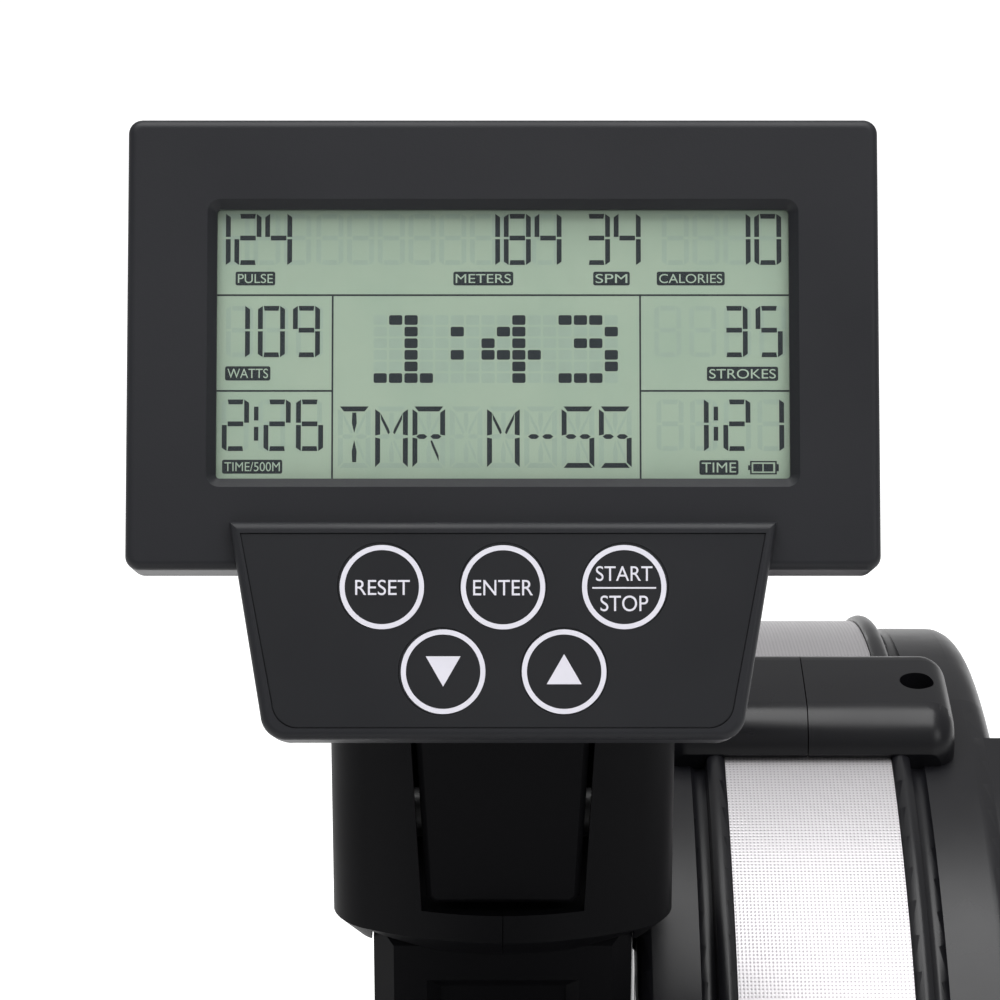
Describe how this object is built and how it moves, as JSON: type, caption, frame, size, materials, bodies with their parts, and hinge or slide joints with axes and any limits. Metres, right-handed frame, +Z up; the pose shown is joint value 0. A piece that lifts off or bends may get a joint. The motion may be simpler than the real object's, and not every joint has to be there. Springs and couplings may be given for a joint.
{
  "type": "rowing machine",
  "caption": "Air rowing machine with a console on a pivoting arm, a fan in a vented drum, a pull handle, footrests and a rolling seat on a folding rail.",
  "frame": {"origin": "on the floor, in the middle of the machine's length and width", "axes": "+X to the rower's right, +Y from the rail's rear end to the fan, +Z up"},
  "size_m": [0.53, 2.3998, 0.8797],
  "materials": {
    "frame_paint": "semi-gloss",
    "steel_zinc": "satin",
    "rail_aluminium": "satin",
    "track_steel": "brushed",
    "black_abs": "matte",
    "drum_abs": "satin",
    "mesh_steel": "perforated, satin",
    "fan_plastic": "matte",
    "cast_iron": "matte",
    "rubber_black": "matte",
    "soft_foam": "matte",
    "webbing": "woven",
    "seat_vinyl": "grained",
    "seat_shell": "matte",
    "roller_nylon": "satin",
    "footrest_plastic": "matte",
    "console_abs": "satin",
    "overlay_film": "satin",
    "lens_clear": "clear",
    "lcd_glass": "satin",
    "circuit_board": "satin",
    "knob_plastic": "matte"
  },
  "bodies": {
    "frame": {"base_frame": "frame_paint", "frame_feet": "frame_paint", "frame_foot_caps": "rubber_black", "footrest_bar": "frame_paint", "foot_plates": "footrest_plastic", "foot_straps": "webbing", "drive_case_left": "black_abs", "drive_case_right": "black_abs", "column_cover": "black_abs", "drive_frame": "frame_paint", "axle_bearings": "steel_zinc", "pivot_bolts": "steel_zinc", "strap_run": "webbing", "drum_shell_left": "drum_abs", "drum_shell_right": "drum_abs", "mesh_band": "mesh_steel", "shroud_left": "black_abs", "shroud_right": "black_abs"},
    "knob": {"fold_knob": "knob_plastic"},
    "rail": {"rail_beam": "rail_aluminium", "rail_track": "track_steel", "seat_stops": "rubber_black", "rail_end_cap": "black_abs", "rear_leg": "frame_paint", "rear_foot_caps": "rubber_black"},
    "seat": {"seat_carriage": "steel_zinc", "rail_glides": "roller_nylon", "seat_pan": "seat_shell", "seat_pad": "seat_vinyl"},
    "rollers_front": {"seat_rollers_front": "roller_nylon"},
    "rollers_rear": {"seat_rollers_rear": "roller_nylon"},
    "heel_left": {"heel_cup_left": "footrest_plastic"},
    "heel_right": {"heel_cup_right": "footrest_plastic"},
    "fan": {"fan_axle": "steel_zinc", "fan_wheel": "fan_plastic", "flywheel_plate": "cast_iron", "one_way_clutch": "steel_zinc"},
    "spool": {"strap_spool": "fan_plastic", "strap_coil": "webbing", "recoil_spring": "steel_zinc"},
    "guide": {"guide_roller": "roller_nylon"},
    "damper": {"damper_ring": "knob_plastic"},
    "handle": {"handle_bar": "frame_paint", "handle_grips": "soft_foam", "handle_yoke": "black_abs", "pull_strap": "webbing"},
    "wheels": {"transport_wheels": "rubber_black"},
    "arm": {"console_arm": "black_abs"},
    "console": {"console_bezel": "console_abs", "keypad_overlay": "overlay_film", "key_board": "circuit_board", "screen_lens": "lens_clear", "lcd_module": "lcd_glass", "console_back": "console_abs"},
    "door": {"battery_door": "console_abs"},
    "reset_key": {"key_reset": "overlay_film"},
    "enter_key": {"key_enter": "overlay_film"},
    "start_stop_key": {"key_start_stop": "overlay_film"},
    "down_key": {"key_down": "overlay_film"},
    "up_key": {"key_up": "overlay_film"}
  },
  "joints": [
    {"name": "rail_fold", "type": "hinge", "parent": "frame", "child": "rail", "pos_m": [0, 0.43, 0.35], "axis": [1, 0, 0], "range_deg": [-90, 0]},
    {"name": "fold_knob_turn", "type": "hinge", "parent": "frame", "child": "knob", "pos_m": [0.04, 0.428, 0.3], "axis": [1, 0, 0], "range_deg": [-180, 180]},
    {"name": "seat_slide", "type": "slide", "parent": "rail", "child": "seat", "axis": [0, -1, 0], "range_m": [-0.32, 0.9]},
    {"name": "front_roller_spin", "type": "hinge", "parent": "seat", "child": "rollers_front", "pos_m": [0, -0.015, 0.3951], "axis": [1, 0, 0], "range_deg": [-900, 2500]},
    {"name": "rear_roller_spin", "type": "hinge", "parent": "seat", "child": "rollers_rear", "pos_m": [0, -0.185, 0.3951], "axis": [1, 0, 0], "range_deg": [-900, 2500]},
    {"name": "left_heel_slide", "type": "slide", "parent": "frame", "child": "heel_left", "axis": [0, 0.6428, 0.766], "range_m": [-0.03, 0.03]},
    {"name": "right_heel_slide", "type": "slide", "parent": "frame", "child": "heel_right", "axis": [0, 0.6428, 0.766], "range_m": [-0.03, 0.03]},
    {"name": "fan_spin", "type": "hinge", "parent": "frame", "child": "fan", "pos_m": [0, 0.948, 0.42], "axis": [1, 0, 0], "continuous": true},
    {"name": "spool_spin", "type": "hinge", "parent": "frame", "child": "spool", "pos_m": [0, 0.948, 0.42], "axis": [1, 0, 0], "range_deg": [-20, 1800]},
    {"name": "guide_roller_spin", "type": "hinge", "parent": "frame", "child": "guide", "pos_m": [0, 0.716, 0.56195], "axis": [1, 0, 0], "range_deg": [-20, 6000]},
    {"name": "damper_turn", "type": "hinge", "parent": "frame", "child": "damper", "pos_m": [0.088, 0.948, 0.42], "axis": [1, 0, 0], "range_deg": [-15, 15]},
    {"name": "handle_pull", "type": "slide", "parent": "frame", "child": "handle", "axis": [0, -1, 0], "range_m": [0, 1.25]},
    {"name": "wheel_spin", "type": "hinge", "parent": "frame", "child": "wheels", "pos_m": [0, 1.075, 0.038], "axis": [1, 0, 0], "continuous": true},
    {"name": "arm_pivot", "type": "hinge", "parent": "frame", "child": "arm", "pos_m": [0, 0.824, 0.692], "axis": [1, 0, 0], "range_deg": [-8, 40]},
    {"name": "console_tilt", "type": "hinge", "parent": "arm", "child": "console", "pos_m": [0, 0.83018, 0.7796], "axis": [1, 0, 0], "range_deg": [-15, 15]},
    {"name": "battery_door_slide", "type": "slide", "parent": "console", "child": "door", "axis": [0, 0.8878, -0.4602], "range_m": [0, 0.02]},
    {"name": "reset_press", "type": "slide", "parent": "console", "child": "reset_key", "axis": [0, 0.8878, -0.4602], "range_m": [0, 0.0006], "stiffness_N_per_m": 400},
    {"name": "enter_press", "type": "slide", "parent": "console", "child": "enter_key", "axis": [0, 0.8878, -0.4602], "range_m": [0, 0.0006], "stiffness_N_per_m": 400},
    {"name": "start_stop_press", "type": "slide", "parent": "console", "child": "start_stop_key", "axis": [0, 0.8878, -0.4602], "range_m": [0, 0.0006], "stiffness_N_per_m": 400},
    {"name": "down_press", "type": "slide", "parent": "console", "child": "down_key", "axis": [0, 0.8878, -0.4602], "range_m": [0, 0.0006], "stiffness_N_per_m": 400},
    {"name": "up_press", "type": "slide", "parent": "console", "child": "up_key", "axis": [0, 0.8878, -0.4602], "range_m": [0, 0.0006], "stiffness_N_per_m": 400}
  ],
  "couplings": [
    {"joint": "front_roller_spin", "follows": "seat_slide", "rad_per_m": 45.455},
    {"joint": "rear_roller_spin", "follows": "seat_slide", "rad_per_m": 45.455},
    {"joint": "spool_spin", "follows": "handle_pull", "rad_per_m": 23.529},
    {"joint": "guide_roller_spin", "follows": "handle_pull", "rad_per_m": 80}
  ]
}
